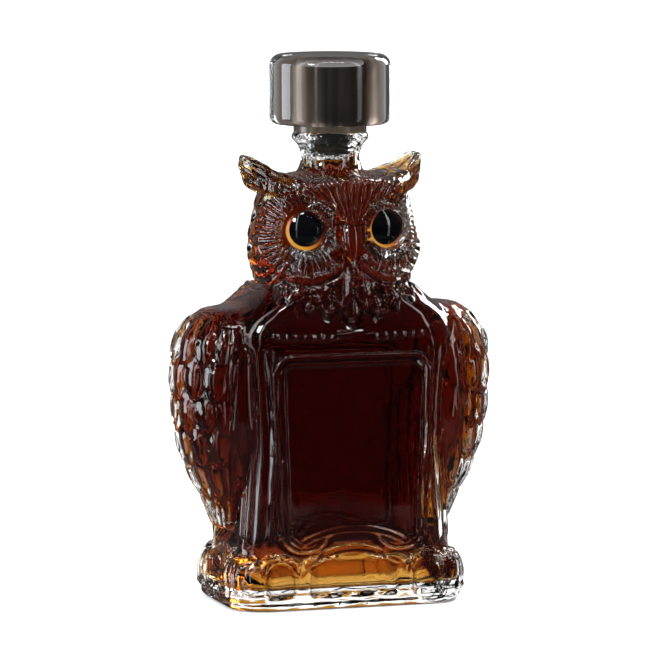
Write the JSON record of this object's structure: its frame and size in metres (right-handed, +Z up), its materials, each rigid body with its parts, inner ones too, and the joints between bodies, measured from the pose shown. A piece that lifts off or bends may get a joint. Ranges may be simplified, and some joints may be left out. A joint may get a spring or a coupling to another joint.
{
  "type": "figural liquor decanter",
  "caption": "Moulded clear glass decanter in the form of a perched owl, filled with dark amber liquor, with set glass eyes and a lift-off stopper with a metal core in a thick clear head.",
  "frame": {"origin": "middle of the foot, on the surface that the decanter stands on", "axes": "+Z up along the neck, -Y the way the owl faces, +X to the right of someone who looks at its face"},
  "size_m": [0.1488, 0.072, 0.245],
  "materials": {
    "flask_glass": "polished moulded clear glass",
    "amber_liquor": "clear dark amber liquid",
    "pupil_black": "gloss black enamel",
    "iris_amber": "gloss amber enamel",
    "eye_glass": "polished clear glass",
    "stopper_clear": "polished clear glass with rounded edges",
    "core_metal": "brushed dark metal with upright grain",
    "plug_polymer": "satin dark polymer",
    "seal_rubber": "soft dark rubber"
  },
  "bodies": {
    "decanter": {"bottle": "flask_glass", "liquor": "amber_liquor", "eye_pupil_left": "pupil_black", "eye_pupil_right": "pupil_black", "eye_iris_left": "iris_amber", "eye_iris_right": "iris_amber", "eye_dome_left": "eye_glass", "eye_dome_right": "eye_glass"},
    "stopper": {"stopper_head": "stopper_clear", "stopper_core": "core_metal", "stopper_plug": "plug_polymer", "seal_rings": "seal_rubber"}
  },
  "joints": [
    {"name": "stopper_lift", "type": "slide", "parent": "decanter", "child": "stopper", "axis": [0, 0, 1], "range_m": [0, 0.06]}
  ]
}
